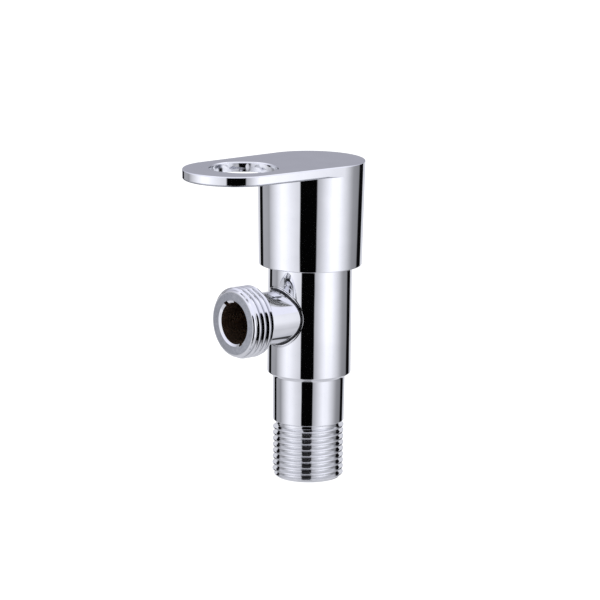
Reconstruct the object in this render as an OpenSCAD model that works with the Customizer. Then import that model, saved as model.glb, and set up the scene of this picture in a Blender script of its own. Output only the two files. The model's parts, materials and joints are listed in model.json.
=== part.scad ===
// Quarter-turn angle stop valve with a skirted lever handle and a ceramic disc cartridge.
// Origin: centre of the inlet thread's end face. +Z runs up the stem, and the outlet and the
// lever point along -Y. Everything is at real size, in millimetres.

/* [Threads] */
// Crest diameter of the G1/2 connection threads
thread_d = 20.955; // [20.6:0.005:21.0]
// Pitch of the G1/2 connection threads
thread_pitch = 1.814; // [1.7:0.001:1.9]
// Full turns of the inlet thread
inlet_turns = 7; // [6:1:8]
// Full turns of the outlet thread
outlet_turns = 3; // [2:1:3]

/* [Body] */
// Diameter of the main barrel
barrel_d = 24.6; // [24.4:0.1:26]
// Height of the barrel's lower edge above the inlet face
barrel_base_z = 31.5; // [31:0.1:33]
// Height of the barrel's top rim
rim_z = 70; // [69.8:0.1:70]
// Diameter of the tapered neck where it meets the barrel
neck_d = 21.2; // [21:0.1:22]
// Diameter of the tapered neck where it meets the inlet thread
neck_base_d = 20.9; // [20:0.1:21]
// Height of the outlet axis above the inlet face
outlet_z = 49.5; // [49:0.1:50]
// Distance from the stem axis to the outlet face
outlet_reach = 28.75; // [28:0.05:32]
// Diameter of the plain neck behind the outlet thread
outlet_neck_d = 15.5; // [15:0.1:16.5]
// Diameter of the outlet waterway
outlet_bore_d = 12.2; // [10:0.1:12.4]
// Diameter of the countersink in the outlet face
outlet_mouth_d = 13.5; // [13:0.1:14]
// Diameter of the inlet waterway
inlet_bore_d = 13.5; // [11:0.1:14]

/* [Handle] */
// Total height of the valve
total_h = 95; // [95:0.1:97]
// Diameter of the skirt at its lower edge
skirt_base_d = 30.26; // [30:0.02:31]
// Diameter of the skirt at its top
skirt_top_d = 31.5; // [31.4:0.1:32]
// Height of the skirt's lower edge above the inlet face
skirt_base_z = 64; // [62:0.1:65]
// Thickness of the lever plate
plate_t = 3; // [2.6:0.1:3.4]
// Distance from the stem axis to the centre of the lever's rounded end
lever_reach = 28.85; // [26:0.05:34]
// Diameter of the lever's rounded end
lever_end_d = 29.8; // [28:0.1:30]
// Diameter of the finger hole
finger_hole_d = 20; // [16:0.5:20.5]
// Distance from the stem axis to the centre of the finger hole
finger_hole_reach = 25.3; // [25:0.1:28]
// Inner diameter of the skirt at its mouth
skirt_bore_d = 27.4; // [27.3:0.1:27.6]

/* [Cartridge] */
// Diameter of the cartridge's lower sleeve
sleeve_d = 18.2; // [18:0.1:18.4]
// Diameter of the spindle's shaft
spindle_d = 9; // [8.8:0.1:9]
// Diameter over the spindle's spline teeth
spline_d = 8; // [7.8:0.1:8]
// Number of spline teeth
spline_teeth = 20; // [18:1:24]
// Distance across the flats of the cartridge's hexagon
hex_flats = 21; // [20:0.5:21]
// Thickness of each ceramic disc
disc_t = 3; // [2.8:0.1:3]
// Opening angle of each of the two ports in a ceramic disc
port_angle = 80; // [60:1:84]

/* [Hidden] */
$fn = 96;

overcut = 1;            // how far a cutter runs past the face it cuts
fit_gap = 0.05;         // radial gap of a close fit

// Thread form, drawn as level rings: depth, crest width and flank width per millimetre of pitch
depth_ratio = 0.6403;
flat_ratio = 1 / 6;
flank_ratio = 1 / 3;
thread_r = thread_d / 2;
thread_root_r = thread_r - depth_ratio * thread_pitch;
thread_flat = flat_ratio * thread_pitch;
thread_flank = flank_ratio * thread_pitch;

// Inlet end, barrel and neck
inlet_face_r = 9.5;
inlet_lead_z = 1.9;
inlet_relief = 1.2;
neck_edge = 0.5;
barrel_r = barrel_d / 2;
neck_r = neck_d / 2;
neck_base_r = neck_base_d / 2;
barrel_edge_r = 0.5;
cove_r = barrel_r - barrel_edge_r - neck_r;
rim_chamfer = 0.4;

// Outlet branch
outlet_neck_r = outlet_neck_d / 2;
branch_fillet = 1.1;
outlet_pilot_r = 9.75;
outlet_lead = 1.36;
outlet_face_chamfer = 0.32;
outlet_mouth_depth = 0.5;
outlet_slot_depth = 1.35;
outlet_slot_w = 1.6;
outlet_slot_reach = 6.95;
outlet_slot_angle = 122;
// Shallow outlet thread: depth and crest width per millimetre of pitch
outlet_depth_ratio = 0.36;
outlet_flat_ratio = 0.22;

// Inside of the body
seat_z = 40;
throat_r = 5.2;
chamber_r = 9.4;
inlet_r = inlet_bore_d / 2;
inlet_bore_top_z = 33;
throat_start_z = 35;
bonnet_thread_z = 60;
bonnet_thread_r = 10;
bonnet_pitch = 1;
bonnet_turns = 6;
female_gap = 0.1;

// Cartridge stack, from the seat up
sleeve_r = sleeve_d / 2;
sleeve_bore_r = 8;
sleeve_base_z = seat_z + 1;
seal_t = 3;
fixed_disc_z = seat_z + seal_t;
disc_film = 0.02;
moving_disc_z = fixed_disc_z + disc_t + disc_film;
window_z = moving_disc_z + disc_t + 0.2;
window_h = 5;
window_w = 12;
driver_top_z = 54.4;
driver_t = 1.5;
flange_top_z = driver_top_z + 2;
friction_t = 0.6;
shoulder_z = flange_top_z + friction_t;
gasket_t = 1;
flange_z = rim_z + gasket_t;
bonnet_flange_t = 1.2;
bonnet_flange_r = 12.15;
hex_z = flange_z + bonnet_flange_t;
hex_top_z = 76.5;
collar_top_z = 78;
collar_r = 8;
washer_t = 0.5;
circlip_gap = 0.05;
circlip_t = 0.75;
circlip_z = collar_top_z + washer_t + circlip_gap;
spline_z = circlip_z + circlip_t + circlip_gap;
spindle_top_z = 89;
spindle_r = spindle_d / 2;
spindle_bore_r = spindle_r + fit_gap;
spline_r = spline_d / 2;
spline_tooth_h = 0.4;
circlip_groove_r = 3.8;
circlip_r = 6.4;
tang_l = 12;
tang_w = 4;

// Ceramic discs
fixed_disc_r = 7.85;
moving_disc_r = 7.6;
port_inner_r = 1.6;
port_outer_r = 5.3;
key_w = 3;
key_reach = 8.85;
leg_w = 3.8;
leg_inner_r = 6.3;
leg_base_z = moving_disc_z + 1.6;

// O-rings
o_ring_section = 1.2;
o_ring_groove_h = 1.7;
o_ring_mid_r = spindle_r - o_ring_section / 2;
o_ring_lower_z = 62;
o_ring_upper_z = 67;

// Stop washer and the two stop lugs on the hexagon
stop_z = 79.7;
stop_t = 1.3;
stop_tab_w = 4;
stop_tab_inner_r = 8.5;
stop_tab_outer_r = 9.7;
stop_tab_base_z = 77;
lug_w = 3;
lug_inner_r = 8.5;
lug_outer_r = 10.3;
lug_top_z = 79;
lug_angle = 23;
quarter_turn = 90;

// Handle and its fastening
plate_z = total_h - plate_t;
skirt_base_r = skirt_base_d / 2;
skirt_top_r = skirt_top_d / 2;
skirt_bore_r = skirt_bore_d / 2;
skirt_bore_top_r = skirt_bore_r + 0.2;
lever_end_r = lever_end_d / 2;
finger_hole_r = finger_hole_d / 2;
rim_bevel = 0.4;
boss_r = 8.2;
boss_z = 81.6;
adapter_r = 5.8;
adapter_flat = 5.2;
adapter_top_z = 90.4;
adapter_bore_top_z = 89.3;
web_t = 1.6;
web_z = 85;
screw_z = 86;
screw_boss_r = 4.2;
screw_boss_end = 14.8;
screw_r = 2.5;
screw_start = adapter_flat + fit_gap;
screw_l = 6;
screw_socket_flats = 2.5;
screw_socket_depth = 2.8;
plug_r = 3.4;
plug_seat_y = 12.9;
plug_shank_r = 2.2;
plug_shank_l = 1.2;
guide_z = 65.5;
guide_h = 3.5;
guide_gap = 0.2;
guide_wall_gap = 0.02;

// Outline of a thread drawn as rings, from its first crest at z up to its last crest
function rings(z, turns, crest_r, pitch, depth, flat, flank) =
    concat(
        [for (i = [0 : turns - 1])
            let (start = z + i * pitch)
            each [
                [crest_r, start],
                [crest_r, start + flat],
                [crest_r - depth, start + flat + flank],
                [crest_r - depth, start + pitch - flank]
            ]
        ],
        [[crest_r, z + turns * pitch], [crest_r, z + turns * pitch + flat]]
    );

// The same with the standard thread form
function ring_thread(z, turns, crest_r, pitch) =
    rings(z, turns, crest_r, pitch, depth_ratio * pitch, flat_ratio * pitch, flank_ratio * pitch);

// Points on an arc, counter-clockwise when to > from
function arc_points(centre, radius, from, to, steps) =
    [for (i = [0 : steps])
        let (a = from + (to - from) * i / steps)
        [centre[0] + radius * cos(a), centre[1] + radius * sin(a)]
    ];

// Spline section: flat-topped teeth on a round core
function spline_points(tip, root, teeth) =
    [for (i = [0 : teeth - 1], k = [0 : 3])
        let (a = 360 * (i + [0.1, 0.35, 0.6, 0.85][k]) / teeth, r = k < 2 ? tip : root)
        [r * cos(a), r * sin(a)]
    ];

// Flat outline of the lever: two round ends joined by their common tangents
module lever_outline(axis_r, end_r, reach) {
    tilt = asin((axis_r - end_r) / reach);
    circle(r = axis_r);
    translate([0, -reach]) circle(r = end_r);
    polygon([
        [axis_r * cos(tilt), -axis_r * sin(tilt)],
        [end_r * cos(tilt), -reach - end_r * sin(tilt)],
        [-end_r * cos(tilt), -reach - end_r * sin(tilt)],
        [-axis_r * cos(tilt), -axis_r * sin(tilt)]
    ]);
}

// Ring of rectangular section
module ring(inner_r, outer_r, z, h) {
    rotate_extrude()
        translate([inner_r, z])
        square([outer_r - inner_r, h]);
}

// The two opposite ports of a ceramic disc, open along the Y axis
module disc_ports(z, h) {
    for (side = [0, 180])
        rotate([0, 0, side + quarter_turn - port_angle / 2])
        rotate_extrude(angle = port_angle)
        translate([port_inner_r, z])
        square([port_outer_r - port_inner_r, h]);
}

// Round bar with two flats facing +Y and -Y
module two_flat_bar(radius, flat, z, h) {
    intersection() {
        translate([0, 0, z]) cylinder(r = radius, h = h);
        translate([-radius, -flat, z]) cube([2 * radius, 2 * flat, h]);
    }
}

// Outside of the skirt, as a solid cone
module skirt_cone() {
    translate([0, 0, skirt_base_z])
        cylinder(r1 = skirt_base_r, r2 = skirt_top_r, h = plate_z - skirt_base_z);
}

// Brass body: inlet thread, neck, barrel and threaded outlet branch
module valve_body() {
    color("gainsboro") difference() {
        union() {
            body_stem();
            body_branch();
        }
        body_waterway();
        translate([0, 0, outlet_z]) rotate([90, 0, 0]) outlet_waterway();
    }
}

module body_stem() {
    thread_end = inlet_lead_z + inlet_turns * thread_pitch + thread_flat + thread_flank;
    rotate_extrude() polygon(concat(
        [[0, 0], [inlet_face_r, 0]],
        ring_thread(inlet_lead_z, inlet_turns, thread_r, thread_pitch),
        [
            [thread_root_r, thread_end],
            [thread_root_r, thread_end + inlet_relief],
            [neck_base_r, thread_end + inlet_relief + neck_edge]
        ],
        arc_points([neck_r + cove_r, barrel_base_z - cove_r], cove_r, 180, 90, 6),
        arc_points([barrel_r - barrel_edge_r, barrel_base_z + barrel_edge_r],
                   barrel_edge_r, -90, 0, 4),
        [[barrel_r, rim_z - rim_chamfer], [barrel_r - rim_chamfer, rim_z], [0, rim_z]]
    ));
}

module body_branch() {
    depth = outlet_depth_ratio * thread_pitch;
    flat = outlet_flat_ratio * thread_pitch;
    last_edge = outlet_reach - outlet_lead;
    first_crest = last_edge - flat - outlet_turns * thread_pitch;
    translate([0, 0, outlet_z]) rotate([90, 0, 0]) rotate_extrude() polygon(concat(
        [
            [0, 0],
            [outlet_neck_r + branch_fillet, 0],
            [outlet_neck_r + branch_fillet, barrel_r],
            [outlet_neck_r, barrel_r + branch_fillet],
            [outlet_neck_r, first_crest]
        ],
        rings(first_crest, outlet_turns, thread_r, thread_pitch, depth, flat, depth),
        [
            [outlet_pilot_r, last_edge + thread_r - outlet_pilot_r],
            [outlet_pilot_r, outlet_reach - outlet_face_chamfer],
            [outlet_pilot_r - outlet_face_chamfer, outlet_reach],
            [0, outlet_reach]
        ]
    ));
}

// Outlet bore with its countersink and the two slots of the countersink
module outlet_waterway() {
    bore_r = outlet_bore_d / 2;
    mouth_r = outlet_mouth_d / 2;
    slope = (mouth_r - bore_r) / outlet_mouth_depth;
    rotate_extrude() polygon([
        [0, 0],
        [bore_r, 0],
        [bore_r, outlet_reach - outlet_mouth_depth],
        [mouth_r + overcut * slope, outlet_reach + overcut],
        [0, outlet_reach + overcut]
    ]);
    translate([0, 0, outlet_reach - outlet_slot_depth]) rotate(outlet_slot_angle)
        translate([-outlet_slot_reach, -outlet_slot_w / 2, 0])
            cube([2 * outlet_slot_reach, outlet_slot_w, outlet_slot_depth + overcut]);
}

// Inlet bore, throat, seat, cartridge chamber and the bonnet's thread, cut as one shape
module body_waterway() {
    rotate_extrude() polygon(concat(
        [
            [0, -overcut],
            [inlet_r, -overcut],
            [inlet_r, inlet_bore_top_z],
            [throat_r, throat_start_z],
            [throat_r, seat_z],
            [chamber_r, seat_z],
            [chamber_r, bonnet_thread_z - flank_ratio * bonnet_pitch]
        ],
        ring_thread(bonnet_thread_z, bonnet_turns + 1, bonnet_thread_r + female_gap, bonnet_pitch),
        [[bonnet_thread_r + female_gap, rim_z + overcut], [0, rim_z + overcut]]
    ));
}

// Brass cartridge housing: windowed sleeve, thread, flange, hexagon and stop lugs
module cartridge_housing() {
    male_root_r = bonnet_thread_r - depth_ratio * bonnet_pitch;
    male_top_z = bonnet_thread_z + (bonnet_turns + flat_ratio + flank_ratio) * bonnet_pitch;
    color("goldenrod") difference() {
        union() {
            rotate_extrude() polygon(concat(
                [
                    [0, sleeve_base_z],
                    [sleeve_r, sleeve_base_z],
                    [sleeve_r, bonnet_thread_z - flank_ratio * bonnet_pitch]
                ],
                ring_thread(bonnet_thread_z, bonnet_turns, bonnet_thread_r, bonnet_pitch),
                [
                    [male_root_r, male_top_z],
                    [male_root_r, flange_z],
                    [bonnet_flange_r, flange_z],
                    [bonnet_flange_r, hex_z],
                    [collar_r, hex_z],
                    [collar_r, collar_top_z],
                    [0, collar_top_z]
                ]
            ));
            translate([0, 0, hex_z])
                cylinder(d = hex_flats / cos(30), h = hex_top_z - hex_z, $fn = 6);
            for (a = [lug_angle, -quarter_turn - lug_angle])
                rotate([0, 0, a])
                translate([lug_inner_r, -lug_w / 2, hex_top_z - fit_gap])
                cube([lug_outer_r - lug_inner_r, lug_w, lug_top_z - hex_top_z + fit_gap]);
        }
        translate([0, 0, sleeve_base_z - overcut])
            cylinder(r = sleeve_bore_r, h = shoulder_z - sleeve_base_z + overcut);
        cylinder(r = spindle_bore_r, h = collar_top_z + overcut);
        translate([-window_w / 2, -sleeve_r - overcut, window_z])
            cube([window_w, 2 * (sleeve_r + overcut), window_h]);
        translate([-sleeve_r - overcut, -key_w / 2 - fit_gap, sleeve_base_z - overcut])
            cube([2 * (sleeve_r + overcut), key_w + 2 * fit_gap,
                  moving_disc_z - sleeve_base_z + overcut + fit_gap]);
    }
}

// Fibre gasket between the housing's flange and the body's rim
module bonnet_gasket() {
    color("firebrick")
        ring(bonnet_thread_r + female_gap + fit_gap, barrel_r - rim_chamfer, rim_z, gasket_t);
}

// Acetal ring that stops the disc seal from folding inwards
module seal_support_ring() {
    lip_w = 0.35;
    color("ivory") ring(throat_r, throat_r + lip_w, seat_z + 0.1, seal_t - 0.1);
}

// Rubber seal between the fixed disc and the seat in the body
module disc_seal() {
    lip = 0.5;
    inner_r = throat_r + 0.4;
    outer_r = sleeve_bore_r - fit_gap;
    color("dimgray") rotate_extrude() polygon([
        [inner_r, seat_z + lip],
        [inner_r + lip, seat_z],
        [outer_r - lip, seat_z],
        [outer_r, seat_z + lip],
        [outer_r, fixed_disc_z],
        [inner_r, fixed_disc_z]
    ]);
}

// Ceramic disc that stays still, keyed into the sleeve by two ears
module fixed_disc() {
    color("whitesmoke") difference() {
        union() {
            translate([0, 0, fixed_disc_z]) cylinder(r = fixed_disc_r, h = disc_t);
            translate([-key_reach, -key_w / 2, fixed_disc_z])
                cube([2 * key_reach, key_w, disc_t]);
        }
        disc_ports(fixed_disc_z - overcut, disc_t + 2 * overcut);
    }
}

// Ceramic disc that turns, notched for the driver's legs
module moving_disc() {
    notch_w = leg_w + 2 * fit_gap;
    color("lavender") difference() {
        translate([0, 0, moving_disc_z]) cylinder(r = moving_disc_r, h = disc_t);
        disc_ports(moving_disc_z - overcut, disc_t + 2 * overcut);
        for (side = [0, 180])
            rotate([0, 0, side])
            translate([leg_inner_r - fit_gap, -notch_w / 2, leg_base_z - fit_gap])
            cube([moving_disc_r, notch_w, disc_t]);
    }
}

// Acetal driver: a slotted plate on two legs that turn the moving disc
module disc_driver() {
    driver_r = moving_disc_r - fit_gap;
    slot_gap = 0.1;
    color("linen") difference() {
        intersection() {
            translate([0, 0, leg_base_z]) cylinder(r = driver_r, h = driver_top_z - leg_base_z);
            union() {
                translate([0, 0, driver_top_z - driver_t]) cylinder(r = driver_r, h = driver_t);
                for (side = [0, 180])
                    rotate([0, 0, side])
                    translate([leg_inner_r, -leg_w / 2, leg_base_z])
                    cube([driver_r, leg_w, driver_top_z - leg_base_z]);
            }
        }
        translate([-tang_l / 2 - slot_gap, -tang_w / 2 - slot_gap, driver_top_z - driver_t - overcut])
            cube([tang_l + 2 * slot_gap, tang_w + 2 * slot_gap, driver_t + 2 * overcut]);
    }
}

// Acetal washer on which the spindle's flange turns
module friction_washer() {
    color("white") ring(spindle_r + fit_gap, moving_disc_r, flange_top_z, friction_t);
}

// Brass spindle: tang, flange, shaft with seal grooves, and splined head
module spindle() {
    flange_r = moving_disc_r - 0.2;
    tapped_r = 1.65;
    tapped_depth = 8;
    color("darkgoldenrod") difference() {
        union() {
            translate([-tang_l / 2, -tang_w / 2, driver_top_z - driver_t])
                cube([tang_l, tang_w, driver_t + overcut]);
            translate([0, 0, driver_top_z])
                cylinder(r = flange_r, h = flange_top_z - driver_top_z);
            translate([0, 0, driver_top_z]) cylinder(r = spindle_r, h = spline_z - driver_top_z);
            translate([0, 0, spline_z]) linear_extrude(spindle_top_z - spline_z)
                polygon(spline_points(spline_r, spline_r - spline_tooth_h, spline_teeth));
        }
        for (z = [o_ring_lower_z, o_ring_upper_z])
            ring(o_ring_mid_r - o_ring_section / 2, spindle_r + overcut,
                 z - o_ring_groove_h / 2, o_ring_groove_h);
        ring(circlip_groove_r, spindle_r + overcut, circlip_z - circlip_gap,
             circlip_t + 2 * circlip_gap);
        translate([0, 0, spindle_top_z - tapped_depth])
            cylinder(r = tapped_r, h = tapped_depth + overcut);
    }
}

// Rubber O-ring in a groove of the spindle
module spindle_o_ring(z) {
    color("dimgray") rotate_extrude()
        translate([o_ring_mid_r, z])
        circle(r = o_ring_section / 2);
}

module spindle_o_ring_lower() { spindle_o_ring(o_ring_lower_z); }

module spindle_o_ring_upper() { spindle_o_ring(o_ring_upper_z); }

// Brass washer between the housing's collar and the circlip
module retaining_washer() {
    color("goldenrod") ring(spindle_r + 2 * fit_gap, collar_r - 0.4, collar_top_z, washer_t);
}

// Spring-steel circlip that holds the spindle down against the washer
module spindle_circlip() {
    mouth_w = 5.4;
    color("slategray") difference() {
        ring(circlip_groove_r + fit_gap, circlip_r, circlip_z, circlip_t);
        translate([-mouth_w / 2, 0, circlip_z - overcut])
            cube([mouth_w, circlip_r + overcut, circlip_t + 2 * overcut]);
    }
}

// Steel stop washer: rides on the spline, its bent tab runs between the housing's lugs
module stop_washer() {
    stop_r = 6.8;
    color("silver") difference() {
        union() {
            translate([0, 0, stop_z]) cylinder(r = stop_r, h = stop_t);
            translate([0, -stop_tab_w / 2, stop_z]) cube([stop_tab_outer_r, stop_tab_w, stop_t]);
            translate([stop_tab_inner_r, -stop_tab_w / 2, stop_tab_base_z])
                cube([stop_tab_outer_r - stop_tab_inner_r, stop_tab_w,
                      stop_z + stop_t - stop_tab_base_z]);
        }
        translate([0, 0, stop_z - overcut]) linear_extrude(stop_t + 2 * overcut)
            polygon(spline_points(spline_r + fit_gap, spline_r - spline_tooth_h + fit_gap,
                                  spline_teeth));
    }
}

// Brass insert that carries the spline's drive into the handle's socket
module spline_adapter() {
    color("darkkhaki") difference() {
        two_flat_bar(adapter_r, adapter_flat, boss_z, adapter_top_z - boss_z);
        translate([0, 0, boss_z - overcut])
            linear_extrude(adapter_bore_top_z - boss_z + overcut)
            polygon(spline_points(spline_r + fit_gap, spline_r - spline_tooth_h + fit_gap,
                                  spline_teeth));
    }
}

// Cast handle: drafted skirt, lever plate with a finger hole, boss and webs inside
module handle() {
    color("gainsboro") difference() {
        union() {
            difference() {
                union() {
                    skirt_cone();
                    translate([0, 0, plate_z]) linear_extrude(plate_t)
                        lever_outline(skirt_top_r, lever_end_r, lever_reach);
                }
                translate([0, 0, skirt_base_z - overcut])
                    cylinder(r = skirt_bore_r, h = guide_z + guide_h - skirt_base_z + overcut);
                translate([0, 0, guide_z + guide_h - fit_gap])
                    cylinder(r1 = skirt_bore_r, r2 = skirt_bore_top_r,
                             h = plate_z - guide_z - guide_h + fit_gap);
            }
            translate([0, 0, boss_z]) cylinder(r = boss_r, h = plate_z + fit_gap - boss_z);
            translate([-skirt_bore_top_r - fit_gap, -web_t / 2, web_z])
                cube([2 * (skirt_bore_top_r + fit_gap), web_t, plate_z + fit_gap - web_z]);
            translate([0, 0, screw_z]) rotate([-90, 0, 0])
                cylinder(r = screw_boss_r, h = screw_boss_end);
        }
        two_flat_bar(adapter_r + fit_gap, adapter_flat + fit_gap, boss_z - overcut,
                     adapter_top_z + 0.1 - boss_z + overcut);
        translate([0, 0, screw_z]) rotate([-90, 0, 0]) {
            cylinder(r = screw_r + fit_gap, h = plug_seat_y + fit_gap);
            translate([0, 0, plug_seat_y]) cylinder(r = plug_r + fit_gap, h = skirt_top_r);
        }
        translate([0, -finger_hole_reach, plate_z - overcut])
            cylinder(r = finger_hole_r, h = plate_t + 2 * overcut);
        translate([0, -finger_hole_reach, total_h - rim_bevel])
            cylinder(r1 = finger_hole_r, r2 = finger_hole_r + rim_bevel + fit_gap,
                     h = rim_bevel + fit_gap);
    }
}

// Hex-socket grub screw that presses on the adapter's flat
module handle_set_screw() {
    point_l = 0.8;
    color("slategray") translate([0, screw_start, screw_z]) rotate([-90, 0, 0]) difference() {
        union() {
            cylinder(r1 = screw_r - point_l, r2 = screw_r, h = point_l);
            translate([0, 0, point_l]) cylinder(r = screw_r, h = screw_l - point_l);
        }
        translate([0, 0, screw_l - screw_socket_depth])
            cylinder(d = screw_socket_flats / cos(30), h = screw_socket_depth + overcut, $fn = 6);
    }
}

// Plug that closes the set screw's hole, flush with the back of the skirt
module set_screw_plug() {
    color("silver") intersection() {
        translate([0, plug_seat_y - plug_shank_l, screw_z]) rotate([-90, 0, 0]) union() {
            cylinder(r = plug_shank_r, h = plug_shank_l + fit_gap);
            translate([0, 0, plug_shank_l + fit_gap]) cylinder(r = plug_r, h = skirt_top_r);
        }
        skirt_cone();
    }
}

// Acetal ring pressed into the skirt's mouth, running round the barrel
module skirt_guide_ring() {
    color("whitesmoke")
        ring(barrel_r + guide_gap, skirt_bore_r - guide_wall_gap, guide_z, guide_h);
}

valve_body();
cartridge_housing();
bonnet_gasket();
seal_support_ring();
disc_seal();
fixed_disc();
moving_disc();
disc_driver();
friction_washer();
spindle();
spindle_o_ring_lower();
spindle_o_ring_upper();
retaining_washer();
spindle_circlip();
stop_washer();
spline_adapter();
handle();
handle_set_screw();
set_screw_plug();
skirt_guide_ring();
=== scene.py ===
import json
import math

import bpy
import numpy as np
from mathutils import Matrix, Vector
from mathutils.geometry import tessellate_polygon


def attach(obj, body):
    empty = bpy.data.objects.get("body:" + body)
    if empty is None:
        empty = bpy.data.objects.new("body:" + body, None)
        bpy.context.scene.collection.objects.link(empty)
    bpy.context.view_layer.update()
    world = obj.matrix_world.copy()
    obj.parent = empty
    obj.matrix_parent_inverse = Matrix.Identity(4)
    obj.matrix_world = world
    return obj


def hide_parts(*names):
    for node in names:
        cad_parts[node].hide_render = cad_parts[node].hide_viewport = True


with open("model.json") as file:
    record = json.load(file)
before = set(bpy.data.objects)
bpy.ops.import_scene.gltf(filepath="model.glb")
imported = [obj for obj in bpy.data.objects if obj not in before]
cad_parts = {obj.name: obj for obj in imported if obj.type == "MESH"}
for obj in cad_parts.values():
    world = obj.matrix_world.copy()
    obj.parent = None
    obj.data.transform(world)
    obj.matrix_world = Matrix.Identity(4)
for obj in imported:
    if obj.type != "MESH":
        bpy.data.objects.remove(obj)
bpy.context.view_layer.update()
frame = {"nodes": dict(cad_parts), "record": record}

# Meshes: points closer than WELD become one. WELD_SHIFT, a share of WELD, keeps round lengths away
# from the edges of its grid. The steps are those of central differences.
WELD = 1e-7
WELD_SHIFT = 0.237
TURN_STEP = 1e-5
LENGTH_STEP = 2e-7
TINY_TURN = 1e-6

# Threads: G1/2. The inlet's has the Whitworth form, and the outlet's is shallower.
THREAD_R = 0.0104775
PITCH = 0.001814
THREAD_DEPTH = 0.640327 * PITCH
THREAD_ROOT_R = THREAD_R - THREAD_DEPTH
THREAD_ROUND = 0.137329 * PITCH
FLANK = math.radians(62.5)
RISE_PER_RADIAN = PITCH / (2 * math.pi)
ROWS_PER_PITCH = 18
THREAD_RUN_IN = 0.00015
# Over this width a thread and its chamfer run into each other
CHAMFER_BLEND = 0.00008

# Body, with its material slots after 0, the chrome
# Slot 3 is the fillet's inside corner, whose dark colour is painted shade
WATERWAY, FACE, CORNER_SHADE = 1, 2, 3
AROUND = 192
INLET_BORE_R = 0.00675
INLET_BORE_TOP_Z = 0.033
INLET_LIP_Z = 0.001
INLET_CHAMFER_R = 0.0093536
INLET_THREAD = (0.0000732, 0.0165)
INLET_FADE = (0.0165, 0.0157)
RELIEF_TOP_Z = 0.016705
NECK_BASE_Z = 0.017205
INLET_CREST_Z = 0.00932
INLET_CREST_AZIMUTH = math.radians(50.5 - 90)
NECK_BASE_R = 0.01045
NECK_R = 0.0106
BARREL_R = 0.0123
BARREL_BASE_Z = 0.0315
RIM_Z = 0.070
BONNET_GROOVE_R = 0.0101
BONNET_RIDGE_R = 0.00946
BONNET_Z = 0.060
BONNET_PITCH = 0.001
BONNET_TURNS = 7
CHAMBER_R = 0.0094
SEAT_Z = 0.040
THROAT_R = 0.0052
THROAT_Z = 0.035
# Windows round the outlet's holes: half width as an azimuth, lower z, upper z
BODY_WINDOW = (math.radians(60), 0.0365, 0.0625)
CHAMBER_WINDOW = (math.radians(60), 0.0415, 0.0575)
SIDE_STEPS = 32
EDGE_STEPS = 64

# Outlet branch, with w the distance from the stem axis
OUTLET_Z = 0.0495
OUTLET_FACE_W = 0.02875
OUTLET_FACE_R = 0.00943
OUTLET_NECK_R = 0.00775
OUTLET_SHOULDER_W = 0.02155
OUTLET_SHOULDER_R = 0.0100
OUTLET_CREST_W = 0.02152
OUTLET_CREST_HALF = 0.11 * PITCH
OUTLET_CREST_BLEND = 0.00012
OUTLET_DEPTH = 0.36 * PITCH
OUTLET_ROOT_BLEND = 0.00006
OUTLET_PILOT_R = 0.00975
OUTLET_FADE = (0.02810, 0.02765)
OUTLET_FILLET = 0.0011
FILLET_STEPS = 12
# Where the fillet's corner of painted shade starts and ends, in steps from the neck
CORNER_STEPS = (2, 9)
# Forged pad round the branch's root, a little proud of the turned barrel
PAD_R = 0.01237
PAD_EDGE = 0.00030
PAD_STEPS = 8
# The fillet's rolling ball: its centre's distance from the outlet's axis and from the stem's
BALL_R = OUTLET_NECK_R + OUTLET_FILLET
BALL_REACH = PAD_R + OUTLET_FILLET
OUTLET_BORE_R = 0.0061
MOUTH_R = 0.00675
MOUTH_W = 0.02825
SLOT_W = 0.0274
SLOT_HALF = 0.0008
SLOT_REACH = 0.00695
SLOT_TURN = math.radians(122)
SLOT_STEPS = 8
LAND_STEPS = AROUND // 2 - SLOT_STEPS
# Band of the bore that joins the slots' uneven steps to even ones
JOIN_W = 0.0002
BRANCH_START_W = 0.0148
BORE_START_W = 0.0120
SADDLE_STEPS = 6
FACE_EDGE = 0.0001
FACE_TRIM = 0.0003
# Where the rounding of the face's edge starts on the chamfer
FACE_CUT = FACE_EDGE * math.tan(math.pi / 8) / math.sqrt(2)

# Handle, with its material slots after 0, the chrome
# Slots 1 and 2, the plate's lower edge and the handle's underside and inside, have darker colours:
# painted shade
SATIN_SHADE, UNDERSIDE_SHADE, HOLE_WALL = 1, 2, 3
HANDLE_TOP_Z = 0.095
PLATE_Z = 0.092
SKIRT_BASE_Z = 0.064
HANDLE_R = 0.01575
DRAFT = 0.020
SKIRT_TILT = math.atan(DRAFT)
LEVER_R = 0.0149
LEVER_REACH = 0.02885
# Azimuth of the points where the lever's straight sides touch the skirt's circle
SIDE_AZIMUTH = math.acos((HANDLE_R - LEVER_R) / LEVER_REACH)
TOP_EDGE = 0.00035
LOWER_EDGE = 0.00055
HOLE_R = 0.010
HOLE_REACH = 0.0253
HOLE_RIM = 0.00047
HOLE_LOWER_EDGE = 0.00012
NOTCH_Z = 0.091
SKIRT_BORE_R = 0.0137
SKIRT_BORE_TOP_R = 0.0139
SKIRT_EDGE_Z = SKIRT_BASE_Z + 0.0005
GUIDE_BASE_Z = 0.0655
GUIDE_TOP_Z = 0.069
BOSS_R = 0.0082
BOSS_Z = 0.0816
SOCKET_R = 0.00585
SOCKET_TOP_Z = 0.0905
WEB_HALF = 0.0008
WEB_Z = 0.085
PLUG_Z = 0.086
PLUG_HOLE_R = 0.00345
PLUG_SEAT_Y = 0.01295
# Window round the plug's hole: steps across, lower z, upper z
PLUG_WINDOW = (24, 0.0805, 0.0915)
SCREW_HOLE_R = 0.00255
SCREW_HOLE_Y = 0.0055
SCREW_BOSS_R = 0.0042
SCREW_BOSS_Y = 0.0072
# How far the webs and the screw boss reach into the walls they meet
OVERLAP = 0.0002
BACK_STEPS = 96
FRONT_STEPS = 44
NOTCH_STEPS = 10
END_STEPS = 96
EDGE_RUN = 24
HOLE_STEPS = 120
HOLE_NOTCH_STEPS = 10
ROUND_STEPS = 8
SIDE_ROWS = 4

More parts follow.
